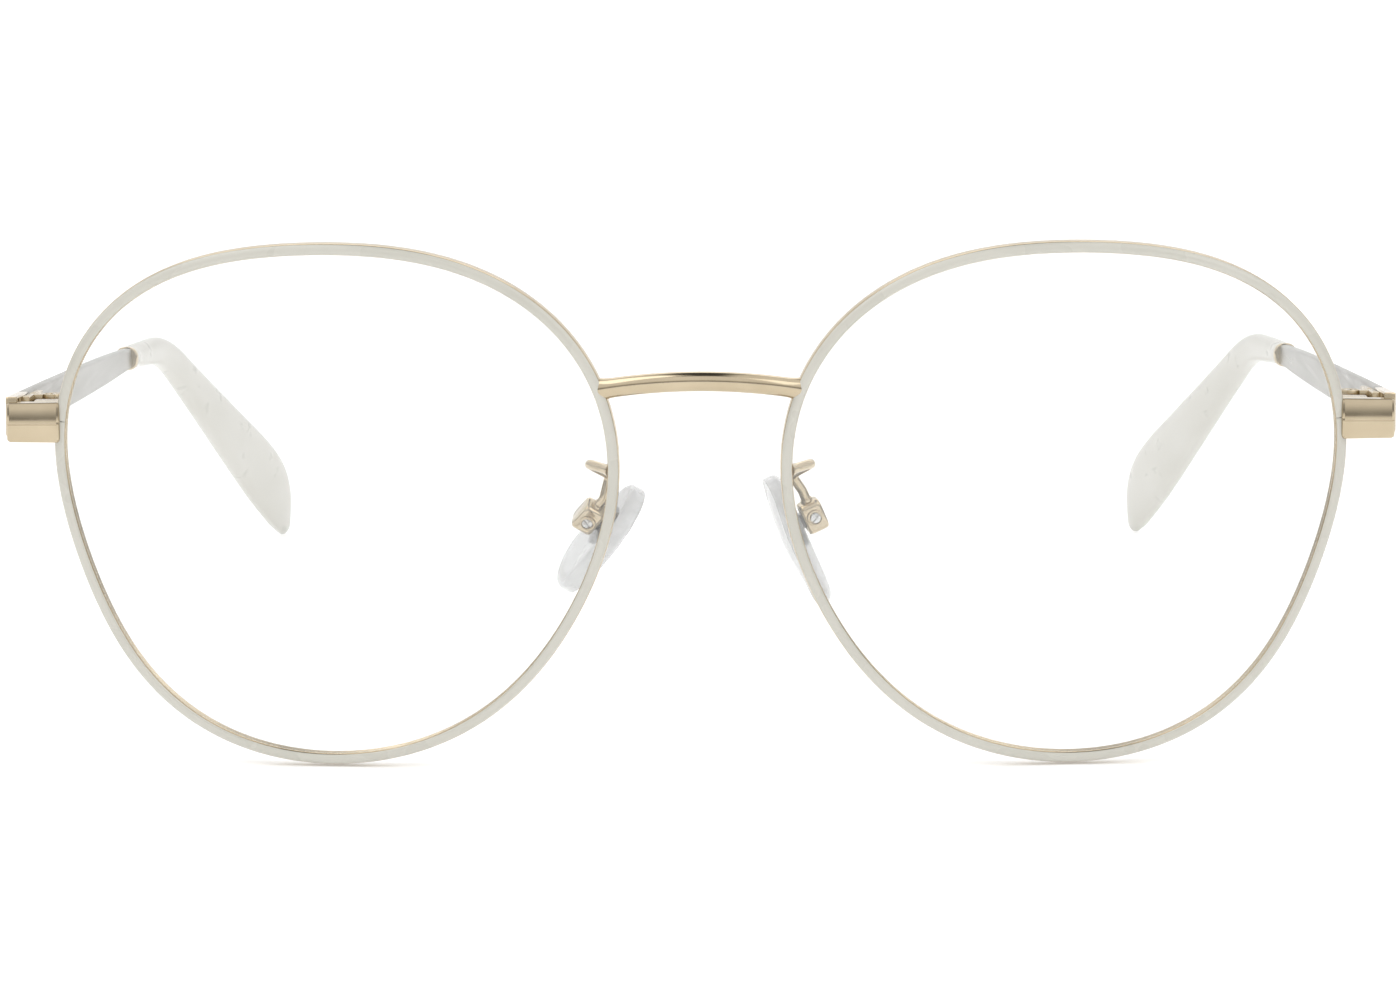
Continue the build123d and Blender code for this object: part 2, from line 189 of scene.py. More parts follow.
def prism(bm, outline, low, high, place=None, edge=0.12, steps=2):
    """An outline in x and y pulled up along z, with softened edges."""
    place = place or Matrix()
    levels = []
    grown = [Vector((x, y)) for x, y in outline]
    count = len(grown)
    inset = []
    for i, point in enumerate(grown):
        before, after = grown[i - 1], grown[(i + 1) % count]
        a, b = (point - before).normalized(), (after - point).normalized()
        normal = Vector((a.y + b.y, -a.x - b.x))
        normal = normal.normalized() if normal.length > 1e-6 else Vector((a.y, -a.x))
        reach = 1 / max(normal.dot(Vector((a.y, -a.x))), 0.6)
        inset.append(normal * reach)
    for step in range(steps + 1):
        angle = math.pi / 2 * step / steps
        levels.append((low + edge * (1 - math.sin(angle)), edge * (1 - math.cos(angle))))
    levels.reverse()
    levels += [(low + high - z, back) for z, back in reversed(levels)]
    rings = []
    for z, back in levels:
        ring = [point - normal * back for point, normal in zip(grown, inset)]
        rings.append([place @ Vector((p.x, p.y, z)) for p in ring])
    skin(bm, rings)


def slab(bm, x, y, z, place=None, edge=0.12, round_by=None):
    """A block between ranges, its upright edges rounded and the rest softened."""
    radius = round_by or edge
    width, depth = x[1] - x[0], y[1] - y[0]
    outline = rounded_rectangle(width, depth, radius, 3)
    middle = Vector(((x[0] + x[1]) / 2, (y[0] + y[1]) / 2))
    prism(bm, [(a + middle.x, b + middle.y) for a, b in outline], z[0], z[1], place, edge)


def lathe(bm, profile, place=None, count=40):
    """A closed profile of (radius, height) turned about z."""
    place = place or Matrix()
    rings = []
    for i in range(count):
        angle = 2 * math.pi * i / count
        rings.append([place @ Vector((r * math.cos(angle), r * math.sin(angle), h)) for r, h in profile])
    skin(bm, rings, closed=True)


def collar(bm, inner, outer, low, high, place=None, edge=0.08):
    """A washer or barrel with softened rims."""
    e = edge
    profile = [
        (inner, low + e), (inner + e * 0.3, low + e * 0.3), (inner + e, low),
        (outer - e, low), (outer - e * 0.3, low + e * 0.3), (outer, low + e),
        (outer, high - e), (outer - e * 0.3, high - e * 0.3), (outer - e, high),
        (inner + e, high), (inner + e * 0.3, high - e * 0.3), (inner, high - e),
    ]
    lathe(bm, profile, place)


def disc(bm, radius, low, high, place=None, edge=0.06, count=36):
    """A turned disc or shank with softened ends."""
    outline = [(radius * math.cos(2 * math.pi * i / count), radius * math.sin(2 * math.pi * i / count))
               for i in range(count)]
    prism(bm, outline, low, high, place, edge)


def half_disc(radius, flat, side, count=14):
    """What is left of a round head on one side of its slot."""
    start = math.asin(flat / radius)
    points = []
    for i in range(count + 1):
        angle = start + (math.pi - 2 * start) * i / count
        points.append((radius * math.cos(angle) * side, radius * math.sin(angle) * side))
    return points


def screw(bm, shank, head, length, head_height, place, slot_turn=0.0, slot_width=0.24):
    """A slotted screw that points down from its head at z = 0."""
    disc(bm, shank, -length, -head_height * 0.6, place)
    disc(bm, head, -head_height, -head_height * 0.55, place, 0.05)
    turned = place @ Matrix.Rotation(slot_turn, 4, "Z")
    for side in (1, -1):
        prism(bm, half_disc(head, slot_width / 2, side), -head_height * 0.6, 0, turned, 0.06)


def polyline_path(corners, radii, step=0.5):
    """Positions along corners rounded by the given radii."""
    corners = [Vector(corner) for corner in corners]
    path = [corners[0]]
    for corner, before, after, radius in zip(corners[1:], corners, corners[2:], radii):
        a, b = (before - corner).normalized(), (after - corner).normalized()
        half = a.angle(b) / 2
        reach = radius / math.tan(half)
        centre = corner + (a + b).normalized() * (radius / math.sin(half))
        start, end = corner + a * reach - centre, corner + b * reach - centre
        turn = start.angle(end)
        count = max(int(radius * turn / step), 6)
        axis = start.cross(end).normalized()
        for i in range(count + 1):
            path.append(centre + Matrix.Rotation(turn * i / count, 3, axis) @ start)
    path.append(corners[-1])
    return path


def walk(path, distances):
    """Points and tangents at distances along a path."""
    lengths = [0.0]
    for a, b in zip(path, path[1:]):
        lengths.append(lengths[-1] + (b - a).length)
    tangents = []
    for i in range(len(path)):
        before, after = path[max(i - 1, 0)], path[min(i + 1, len(path) - 1)]
        tangents.append((after - before).normalized())
    out = []
    i = 0
    for distance in distances:
        while i < len(path) - 2 and distance > lengths[i + 1]:
            i += 1
        s = (distance - lengths[i]) / (lengths[i + 1] - lengths[i])
        along = tangents[i].lerp(tangents[i + 1], min(max(s, 0), 1)).normalized()
        out.append((path[i].lerp(path[i + 1], s), along))
    return out


def tube(bm, path, radius, count=20, ends=0.35, step=0.25):
    """A round wire with domed ends; radius may be a function of the share."""
    total = sum((b - a).length for a, b in zip(path, path[1:]))
    spans = max(int(total / step), 8)
    marks = [0, 0.02, 0.08, 0.2]
    size = radius if callable(radius) else (lambda share: radius)
    distances = [m * ends for m in marks] + [total * i / spans for i in range(1, spans)]
    distances = sorted(d for d in distances if d < total) + [total - m * ends for m in reversed(marks)]
    distances = sorted(set(round(d, 5) for d in distances))
    stations = walk(path, distances)
    side = stations[0][1].orthogonal().normalized()
    rings = []
    for distance, (point, tangent) in zip(distances, stations):
        side = (side - tangent * side.dot(tangent)).normalized()
        other = tangent.cross(side)
        near = min(distance, total - distance) / ends
        shrink = math.sqrt(max(1 - (1 - min(near * 4, 1)) ** 2, 0.09)) if near < 0.25 else 1
        r = size(distance / total) * shrink
        rings.append([
            point + (side * math.cos(a) + other * math.sin(a)) * r
            for a in (2 * math.pi * i / count for i in range(count))
        ])
    skin(bm, rings)


def outline_point(angle, offset=0.0):
    """A point of the eye outline, moved out square to it by offset."""
    radius, slope = MEAN_RADIUS, 0.0
    for order, (c, s) in HARMONICS.items():
        radius += c * math.cos(order * angle) + s * math.sin(order * angle)
        slope += order * (s * math.cos(order * angle) - c * math.sin(order * angle))
    length = math.hypot(radius, slope)
    out_x = (radius * math.cos(angle) + slope * math.sin(angle)) / length
    out_y = (radius * math.sin(angle) - slope * math.cos(angle)) / length
    return radius * math.cos(angle) + offset * out_x, radius * math.sin(angle) + offset * out_y


def on_curve(x, y, depth):
    """The point of the eye frame that lies depth below the base curve."""
    z = math.sqrt((BASE_CURVE - depth) ** 2 - x * x - y * y) - BASE_CURVE
    return EYE_FRAME @ Vector((x, y, z))


# ---- finishing a piece -------------------------------------------------------


def finish(name, bm, materials, body, nodes, mirrored=False, angle=35):
    """Turns a mesh in millimetres into a riding piece in metres."""
    scale = Matrix.Diagonal((-MM if mirrored else MM, MM, MM, 1))
    bmesh.ops.transform(bm, matrix=scale, verts=bm.verts)
    if mirrored:
        bmesh.ops.reverse_faces(bm, faces=bm.faces)
    bmesh.ops.recalc_face_normals(bm, faces=bm.faces)
    mesh = bpy.data.meshes.new(name)
    bm.to_mesh(mesh)
    bm.free()
    mesh.shade_smooth()
    mesh.set_sharp_from_angle(angle=math.radians(angle))
    for material in materials:
        mesh.materials.append(material)
    piece = bpy.data.objects.new(name, mesh)
    bpy.context.scene.collection.objects.link(piece)
    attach(piece, body)
    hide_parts(*nodes)
    return piece


# ---- materials ---------------------------------------------------------------


def new_material(name):
    material = bpy.data.materials.new(name)
    material.use_nodes = True
    nodes, links = material.node_tree.nodes, material.node_tree.links
    shader = nodes["Principled BSDF"]
    return material, nodes, links, shader


def noise(nodes, links, scale, detail=4.0, stretch=None, rough=0.55):
    """Noise in the object's own space; stretch lengthens it along an axis."""
    where = nodes.new("ShaderNodeTexCoord")
    out = where.outputs["Object"]
    if stretch:
        mapping = nodes.new("ShaderNodeMapping")
        mapping.inputs["Scale"].default_value = stretch
        links.new(out, mapping.inputs["Vector"])
        out = mapping.outputs["Vector"]
    texture = nodes.new("ShaderNodeTexNoise")
    texture.inputs["Scale"].default_value = scale
    texture.inputs["Detail"].default_value = detail
    texture.inputs["Roughness"].default_value = rough
    links.new(out, texture.inputs["Vector"])
    return texture.outputs["Fac"]


def spread(nodes, links, value, low, high):
    """A noise value spread between two numbers."""
    node = nodes.new("ShaderNodeMapRange")
    node.inputs["From Min"].default_value = 0.3
    node.inputs["From Max"].default_value = 0.7
    node.inputs["To Min"].default_value = low
    node.inputs["To Max"].default_value = high
    links.new(value, node.inputs["Value"])
    return node.outputs["Result"]


def tint(nodes, links, value, dark, light):
    """A colour that follows a noise value."""
    ramp = nodes.new("ShaderNodeValToRGB")
    ramp.color_ramp.elements[0].position = 0.35
    ramp.color_ramp.elements[0].color = (*dark, 1)
    ramp.color_ramp.elements[1].position = 0.65
    ramp.color_ramp.elements[1].color = (*light, 1)
    links.new(value, ramp.inputs["Fac"])
    return ramp.outputs["Color"]


def bump(nodes, links, value, strength, distance):
    node = nodes.new("ShaderNodeBump")
    node.inputs["Strength"].default_value = strength
    node.inputs["Distance"].default_value = distance
    links.new(value, node.inputs["Height"])
    return node.outputs["Normal"]


def metal(name, dark, light, rough, grain, stretch=None, scratch=0.12):
    """Plated metal: cloudy tone, uneven polish and a fine directional grain."""
    material, nodes, links, shader = new_material(name)
    shader.inputs["Metallic"].default_value = 1.0
    clouds = noise(nodes, links, 180, 3)
    links.new(tint(nodes, links, clouds, dark, light), shader.inputs["Base Color"])
    lines = noise(nodes, links, grain, 5, stretch, 0.6)
    links.new(spread(nodes, links, lines, *rough), shader.inputs["Roughness"])
    links.new(bump(nodes, links, lines, scratch, 0.00002), shader.inputs["Normal"])
    return material


def enamel(name, dark, light):
    """Glossy baked enamel with a faint orange peel."""
    material, nodes, links, shader = new_material(name)
    clouds = noise(nodes, links, 90, 3)
    links.new(tint(nodes, links, clouds, dark, light), shader.inputs["Base Color"])
    peel = noise(nodes, links, 1400, 2)
    links.new(spread(nodes, links, clouds, 0.2, 0.34), shader.inputs["Roughness"])
    links.new(bump(nodes, links, peel, 0.1, 0.00003), shader.inputs["Normal"])
    shader.inputs["Coat Weight"].default_value = 0.4
    shader.inputs["Coat Roughness"].default_value = 0.08
    return material


def acetate(name, dark, light):
    """Tumbled acetate: pearly clouds, slight depth and a soft polish."""
    material, nodes, links, shader = new_material(name)
    clouds = noise(nodes, links, 120, 5, (1, 0.45, 1))
    links.new(tint(nodes, links, clouds, dark, light), shader.inputs["Base Color"])
    fine = noise(nodes, links, 500, 2)
    links.new(spread(nodes, links, fine, 0.26, 0.36), shader.inputs["Roughness"])
    links.new(bump(nodes, links, fine, 0.03, 0.00002), shader.inputs["Normal"])
    shader.inputs["Coat Weight"].default_value = 0.25
    shader.inputs["Coat Roughness"].default_value = 0.12
    return material


def clear(name, dark, light, alpha, rough, scale, strength):
    """A see-through solid with faint unevenness in its polish."""
    material, nodes, links, shader = new_material(name)
    shader.inputs["Alpha"].default_value = alpha
    shader.inputs["Coat Weight"].default_value = 1.0
    shader.inputs["Coat Roughness"].default_value = 0.03
    clouds = noise(nodes, links, scale, 3)
    links.new(tint(nodes, links, clouds, dark, light), shader.inputs["Base Color"])
    links.new(spread(nodes, links, clouds, *rough), shader.inputs["Roughness"])
    links.new(bump(nodes, links, clouds, strength, 0.00002), shader.inputs["Normal"])
    return material


GOLD = metal("gold", (0.47, 0.39, 0.265), (0.54, 0.45, 0.315), (0.16, 0.28), 900, (1, 1, 3))
GOLD_POLISHED = metal("gold_polished", (0.51, 0.425, 0.295), (0.57, 0.48, 0.34), (0.09, 0.16), 700,
                      (0.3, 1, 1), 0.06)
SATIN = metal("satin_silver", (0.335, 0.325, 0.30), (0.39, 0.38, 0.355), (0.26, 0.42), 1600, (1, 0.03, 1),
              0.2)
STEEL = metal("screw_steel", (0.55, 0.55, 0.55), (0.66, 0.66, 0.65), (0.2, 0.32), 2200, (1, 1, 1), 0.15)
ENAMEL = enamel("cream_enamel", (0.535, 0.52, 0.46), (0.575, 0.56, 0.50))
ACETATE = acetate("cream_acetate", (0.535, 0.52, 0.465), (0.575, 0.56, 0.51))
LENS = clear("lens_clear", (0.82, 0.84, 0.83), (0.86, 0.875, 0.87), 0.1, (0.0, 0.02), 60, 0.01)
SILICONE = clear("clear_silicone", (0.42, 0.425, 0.42), (0.52, 0.525, 0.52), 0.5, (0.16, 0.3), 400, 0.15)
INSERT = clear("insert_plastic", (0.12, 0.12, 0.118), (0.2, 0.2, 0.195), 0.8, (0.2, 0.3), 700, 0.1)


# ---- rims and lenses ---------------------------------------------------------

RIM_HALF = 0.575
RIM_DEPTH = 1.8
SPLIT_ANGLE = math.asin(7.43 / 28.6)
# Section of the rim wire: offset across the front and depth, anticlockwise
RIM_SECTION = (
    (0.0, -0.02), (-0.22, -0.01), (-0.38, 0.05), (-0.49, 0.16), (-0.55, 0.32),
    (-RIM_HALF, 0.42), (-0.18, 0.78), (-0.18, 1.02), (-RIM_HALF, 1.38),
    (-0.55, 1.55), (-0.45, 1.7), (-0.3, RIM_DEPTH), (0.3, RIM_DEPTH), (0.45, 1.7),
    (0.55, 1.5), (RIM_HALF, 1.2), (RIM_HALF, 0.5), (0.55, 0.3), (0.49, 0.16),
    (0.38, 0.05), (0.22, -0.01),
)
ENAMEL_SPANS = {0, 1, 2, 18, 19, 20}


def rim(side):
    bm = bmesh.new()
    count = 260
    gap = 0.04 / 28.6
    rings = []
    for i in range(count + 1):
        angle = SPLIT_ANGLE + gap + (2 * math.pi - 2 * gap) * i / count
        rings.append([on_curve(*outline_point(angle, offset), depth) for offset, depth in RIM_SECTION])
    skin(bm, rings, paint=lambda i, j: 0 if j in ENAMEL_SPANS else 1)
    name = f"eye_rim_{side}"
    finish(f"rim_wire_{side}", bm, [ENAMEL, GOLD], "front", [name], side == "right", 50)


def lens(side):
    bm = bmesh.new()
    count, rings_in = 150, 16
    edge = RIM_HALF + 0.04
    front, back = 0.2, 1.6

    def ring(share, offset, depth):
        points = []
        for i in range(count):
            x, y = outline_point(2 * math.pi * i / count, offset)
            points.append(on_curve(x * share, y * share, depth))
        return points

    shares = [math.sin(math.pi / 2 * i / rings_in) for i in range(1, rings_in + 1)]
    rings = [ring(share, -edge, front) for share in shares]
    rings += [ring(1, -edge, 0.55), ring(1, -0.25, 0.86), ring(1, -0.25, 0.94), ring(1, -edge, 1.25)]
    rings += [ring(share, -edge, back) for share in reversed(shares)]
    made = skin(bm, rings, caps=False)
    for loop, depth in ((made[0], front), (made[-1], back)):
        middle = bm.verts.new(on_curve(0, 0, depth))
        for i in range(count):
            bm.faces.new((loop[i], loop[(i + 1) % count], middle))
    finish(f"lens_clear_{side}", bm, [LENS], "front", [f"lens_{side}"], side == "right", 60)


# ---- end piece, rim lock and hinge -------------------------------------------

BLOCK = Vector((64.5, EYE.y + 4.3, HINGE.z))
BLOCK_WIDTH = 5.35
BLOCK_HEIGHT = 4.1
BLOCK_DEPTH = 1.5
ARM_INNER = 2.55
ARM_THICKNESS = 1.2
BARREL = 1.15
STACK = 1.8
LEAF = 1.8


def end_block(side):
    """Faceted face plate with a bevelled border, and the arm to the hinge."""
    bm = bmesh.new()
    half = BLOCK_HEIGHT / 2
    border = 0.3
    # stations up the face: height, how far it falls back; the last at the back
    profile = [(-half, BLOCK_DEPTH), (-half, 0.45), (-half + 0.08, 0.27), (-half + border, 0.14),
               (-0.3, 0.02),
               (-0.22, 0.0), (-0.16, 0.03), (-0.1, 0.06)]
    top = half - border
    profile += [(-0.1 + (top + 0.1) * i / 8, 0.06 + 0.05 * i / 8 + 0.22 * (i / 8) ** 2) for i in range(1,
                                                                                                       9)]
    profile += [(half - 0.08, 0.44), (half, 0.6), (half, BLOCK_DEPTH)]
    ends = ((0.0, 0.34, 0.93), (0.1, 0.16, 0.965), (border, 0.0, 1.0), (BLOCK_WIDTH - border, 0.0, 1.0),
            (BLOCK_WIDTH - 0.1, 0.16, 0.965), (BLOCK_WIDTH, 0.34, 0.93))
    rings = []
    for x, back, keep in ends:
        squeeze = keep * (1 - 0.035 * x / BLOCK_WIDTH)
        rings.append([BLOCK + Vector((x, min(fall + back, BLOCK_DEPTH), z * squeeze)) for z,
                      fall in profile])
    skin(bm, rings)
    slab(bm, (ARM_INNER, ARM_INNER + ARM_THICKNESS), (BLOCK.y - HINGE.y + 1.0, 0), (-2, 2), HINGE_FRAME,
         0.16)
    finish(f"end_block_{side}", bm, [GOLD_POLISHED], "front", [f"end_piece_{side}"],
           side == "right", 20)


def rim_lock(side):
    for half, direction in (("upper", 1), ("lower", -1)):
        bm = bmesh.new()
        z = sorted((HINGE.z + direction * 0.15, HINGE.z + direction * 1.95))
        y0 = BLOCK.y + BLOCK_DEPTH
        slab(bm, (64.45, 67.3), (y0, y0 + 2.2), z, None, 0.14, 0.3)
        name = f"rim_lock_{half}_{side}"
        finish(f"lock_block_{half}_{side}", bm, [GOLD], "front", [name], side == "right")
    bm = bmesh.new()
    low = Matrix.Translation((66.35, BLOCK.y + BLOCK_DEPTH + 1.1, HINGE.z - 1.97))
    low = low @ Matrix.Rotation(math.pi, 4, "X")
    screw(bm, 0.55, 0.8, 3.4, 0.36, low, 0.6)
    finish(f"lock_screw_{side}", bm, [STEEL], "front", [f"rim_lock_screw_{side}"],
           side == "right")


def hinges(side):
    mirrored = side == "right"
    middle = 0.65
    bm = bmesh.new()
    slab(bm, (LEAF, ARM_INNER + 0.02), (-4.2, -0.02), (-STACK, STACK), HINGE_FRAME, 0.12)
    for low, high, bore in ((-STACK, -middle - 0.05, 0.62), (middle + 0.05, STACK, 0.88)):
        collar(bm, bore, BARREL, low, high, HINGE_FRAME)
        slab(bm, (0.9, LEAF + 0.2), (-BARREL, -0.08), (low + 0.03, high - 0.03), HINGE_FRAME, 0.06)
    finish(f"hinge_fork_{side}", bm, [GOLD], "front", [f"hinge_front_{side}"], mirrored)
    bm = bmesh.new()
    slab(bm, (LEAF, ARM_INNER + 0.02), (0.07, 5.0), (-STACK, STACK), HINGE_FRAME, 0.12)
    collar(bm, 0.65, BARREL, -middle, middle, HINGE_FRAME)
    slab(bm, (0.9, LEAF + 0.2), (0.08, BARREL), (-middle + 0.03, middle - 0.03), HINGE_FRAME, 0.06)
    finish(f"hinge_eye_{side}", bm, [GOLD], f"temple_{side}", [f"hinge_back_{side}"],
           mirrored)
    bm = bmesh.new()
    screw(bm, 0.6, 0.84, 3.55, 0.4, HINGE_FRAME @ Matrix.Translation((0, 0, STACK - 0.06)), 1.1)
    finish(f"hinge_pin_{side}", bm, [STEEL], "front", [f"hinge_screw_{side}"], mirrored)


# ---- temple ------------------------------------------------------------------


def temple(side):
    """The bar, its ring and the core wire inside the tip."""
    mirrored = side == "right"
    bm = bmesh.new()
    centre = ARM_INNER + ARM_THICKNESS / 2
    rings = []
    marks = [0.0, 0.05, 0.15] + [RING_AT * i / 60 for i in range(1, 60)] + [RING_AT - 0.05]
    for mark in marks:
        height = smooth_values(ARM_STATIONS, max(mark, 0.05))[0]
        soften = (0.14, 0.05, 0.0)[marks.index(mark)] if mark < 0.2 else 0
        y = mark + 0.05
        section = rounded_rectangle(ARM_THICKNESS - 2 * soften, height - 2 * soften, 0.3, 4)
        rings.append([HINGE_FRAME @ Vector((centre + a, y, b)) for a, b in section])
    skin(bm, rings)
    core = [HINGE_FRAME @ point for point in tip_path(0.75)]
    tube(bm, core, 0.6, 16)
    finish(f"temple_arm_{side}", bm, [SATIN], f"temple_{side}", [f"temple_bar_{side}"],
           mirrored)
    bm = bmesh.new()
    profile = ((-1.42, -0.12), (-1.32, -0.02), (-1.15, 0.03), (-0.8, 0.05), (-0.3, 0.04),
               (-0.12, 0.0), (-0.02, -0.1))
    rings = []
    for y, grow in profile:
        section = superellipse(2.6 + 2 * grow, 2.7 + 2 * grow, 2.4, 36)
        rings.append([HINGE_FRAME @ Vector((centre + a, RING_AT + y, b)) for a, b in section])
    skin(bm, rings)
    finish(f"collar_ring_{side}", bm, [GOLD_POLISHED], f"temple_{side}", [f"tip_ring_{side}"],
           mirrored)


def tip_path(share=1.0):
    """The line of the tip in the hinge frame, down to a share of its drop."""
    turn, bend = Vector(TIP_TURN), Vector(TIP_BEND)
    end = bend + (Vector(TIP_END) - bend) * share
    return polyline_path((Vector((turn.x, RING_AT - 2, 0)), turn, bend, end), (30, 15))


def tip(side):
    """Acetate sleeve that widens to a slanted paddle with a rounded end."""
    bm = bmesh.new()
    path = tip_path()
    last = TIP_SECTIONS[-1][0]
    marks = [0.05, 0.12, 0.3] + [last * i / 90 for i in range(1, 91)]
    marks += [last + 0.35, last + 0.6, last + 0.74]
    shrink = {0.05: 0.9, 0.12: 0.97, last + 0.35: 0.84, last + 0.6: 0.55, last + 0.74: 0.18}
    rings = []
    for mark, (point, along) in zip(marks, walk(path, [2 + mark for mark in marks])):
        width, thickness, offset, twist = smooth_values(TIP_SECTIONS, min(mark, last))
        keep = shrink.get(mark, 1)
        upright = (Vector((0, 0, 1)) - along * along.z).normalized()
        across = along.cross(upright)
        turn = math.radians(twist)
        section = superellipse(width * keep, thickness * keep, 2.3, 40)
        ring = []
        for a, b in section:
            a += offset
            x, y = a * math.cos(turn) + b * math.sin(turn), b * math.cos(turn) - a * math.sin(turn)
            ring.append(HINGE_FRAME @ (point + upright * x + across * y))
        rings.append(ring)
    skin(bm, rings)
    finish(f"tip_paddle_{side}", bm, [ACETATE], f"temple_{side}", [f"temple_tip_{side}"],
           side == "right", 60)


# ---- bridge and nose pads ----------------------------------------------------


def bridge_bar():
    """Polished arched bar that flares into its solder on each rim."""
    bm = bmesh.new()
    end = Vector((10.35, EYE.y + 1.9, EYE.z + 11.0))
    rise = 1.05
    rings = []
    count = 48
    for i in range(count + 1):
        s = 2 * i / count - 1
        x = s * end.x
        arch = 1 - s * s
        centre = Vector((x, end.y - 1.3 * arch, end.z + rise * arch))
        slope = Vector((end.x, 2 * 1.3 * s, -2 * rise * s)).normalized()
        flare = max((abs(s) - 0.82) / 0.18, 0) ** 2
        section = superellipse(2.0 + 0.6 * flare, 1.7 + 0.25 * flare, 2.1, 40)
        up = (Vector((0, 0, 1)) - slope * slope.z).normalized()
        back = slope.cross(up)
        rings.append([centre + up * a - back * b for a, b in section])
    skin(bm, rings)
    finish("bridge_bar", bm, [GOLD_POLISHED], "front", ["bridge"])


def pad_arm(side):
    """Bent wire with a flattened solder foot on the rim and a sleeve at the box."""
    bm = bmesh.new()
    place = pad_frame(side)
    corners = [Vector((x, EYE.y + y, EYE.z + z)) for x, y, z in PAD_ARM_ROUTE]
    corners += [place @ Vector((0, 1.65 + 1.2, 0)), place @ Vector((0, 1.5, 0))]
    path = polyline_path(corners, (0.6, 0.6, 0.6), 0.12)
    tube(bm, path, lambda share: 0.5 + 0.28 * max(1 - share / 0.12, 0) ** 2, 20)
    sleeve = [place @ Vector((0, 1.45, 0)), place @ Vector((0, 2.0, 0))]
    tube(bm, sleeve, 0.62, 20, 0.2, 0.1)
    finish(f"pad_wire_{side}", bm, [GOLD_POLISHED], "front", [f"pad_arm_{side}"],
           side == "right", 50)


def pad_holder(side):
    """Box with a pocket for the pad's stem, and the screw across it."""
    place = pad_frame(side)
    bm = bmesh.new()
    outer = rounded_rectangle(3.3, 2.3, 0.62, 6)
    inner = rounded_rectangle(2.5, 1.2, 0.2, 6)
    levels = [(-1.1, 0.8, outer), (-1.06, 0.88, outer), (-0.97, 0.95, outer), (-0.8, 0.99, outer),
              (-0.6, 1, outer),
              (0.7, 1, outer), (0.9, 0.985, outer), (1.03, 0.955, outer), (1.1, 0.91, outer),
              (1.1, 1.06, inner), (1.03, 1.0, inner), (-0.85, 1.0, inner)]
    rings = [[place @ Vector((x, a * keep, b * keep)) for a, b in shape] for x, keep, shape in levels]
    skin(bm, rings)
    collar(bm, 0.6, 0.86, 1.05, 1.36, place @ Matrix.Rotation(math.pi, 4, "X"), 0.07)
    finish(f"pad_holder_{side}", bm, [GOLD_POLISHED], "front", [f"pad_box_{side}"],
           side == "right", 40)
    bm = bmesh.new()
    head = place @ Matrix.Translation((0, 0, -1.34)) @ Matrix.Rotation(math.pi, 4, "X")
    screw(bm, 0.4, 0.54, 2.5, 0.3, head, 0.5, 0.17)
    finish(f"pad_pin_{side}", bm, [STEEL], "front", [f"pad_screw_{side}"], side == "right")


def pad(side):
    """Clear teardrop pad moulded round a plate, with the plate's stem."""
    place = pad_frame(side)
    count = 72
    top_radius, low_radius = 2.9, 3.7
    top, low = 5.6 - top_radius, -8.8 + low_radius
    meeting_sine = 0.105  # where the upper round end gives way to the lower
    outline = []
    for i in range(count):
        angle = 2 * math.pi * i / count
        direction = Vector((math.cos(angle), math.sin(angle)))
        upper = math.sin(angle) > meeting_sine
        centre, radius = (top, top_radius) if upper else (low, low_radius)
        outline.append(Vector((direction.x * radius, centre + direction.y * radius)))
    outline = even_outline(outline, count)
    middle = Vector((0, -1.7))
    pad_back, thickness, edge = 1.55, 2.4, 0.95
    steps = 7
    bm = bmesh.new()
    rings = []

    def level(inset, height):
        ring = []
        for point in inset_outline(outline, inset):
            crown = (point.y + 1.6) ** 2 / 48 + point.x ** 2 / 26
            raised = min(height, thickness - crown * min(height / thickness, 1))
            ring.append(place @ Vector((pad_back + raised, point.y, -point.x)))
        return ring

    for share in (0.12, 0.35, 0.6, 0.82):
        rings.append([place @ Vector((1.55, middle.y + (p.y - middle.y) * share, -p.x * share))
                      for p in inset_outline(outline, edge)])
    for step in range(steps + 1):
        angle = math.pi / 2 * step / steps
        rings.append(level(edge * (1 - math.sin(angle)) * 0.8, 0.75 * (1 - math.cos(angle))))
    for step in range(steps + 1):
        angle = math.pi / 2 * step / steps
        rings.append(level(edge * (1 - math.cos(angle)), thickness - edge + edge * math.sin(angle)))
    for share in (0.85, 0.65, 0.4, 0.15):
        ring = []
        for p in inset_outline(outline, edge):
            x, y = p.x * share, middle.y + (p.y - middle.y) * share
            ring.append(place @ Vector((1.55 + thickness - (y + 1.6) ** 2 / 48 - x * x / 26, y, -x)))
        rings.append(ring)
    skin(bm, rings)
    finish(f"pad_silicone_{side}", bm, [SILICONE], f"pad_{side}", [f"nose_pad_{side}"],
           side == "right", 70)
    bm = bmesh.new()
    plate = place @ Matrix.Translation((1.57, 0, 0)) @ Matrix.Rotation(math.pi / 2, 4, "Y")
    prism(bm, superellipse(2.8, 5.0, 3, 32), 0.0, 0.6, plate, 0.12)
    slab(bm, (-0.55, 1.7), (-0.75, 0.75), (-0.55, 0.55), place, 0.1, 0.2)
    finish(f"pad_core_{side}", bm, [INSERT], f"pad_{side}", [f"pad_insert_{side}"],
           side == "right")


def even_outline(points, count):
    """The same closed outline with its points evenly spaced."""
    lengths = [0.0]
    loop = points + [points[0]]
    for a, b in zip(loop, loop[1:]):
        lengths.append(lengths[-1] + (b - a).length)
    out, i = [], 0
    for k in range(count):
        want = lengths[-1] * k / count
        while want > lengths[i + 1]:
            i += 1
        out.append(loop[i].lerp(loop[i + 1], (want - lengths[i]) / max(lengths[i + 1] - lengths[i], 1e-6)))
    return out


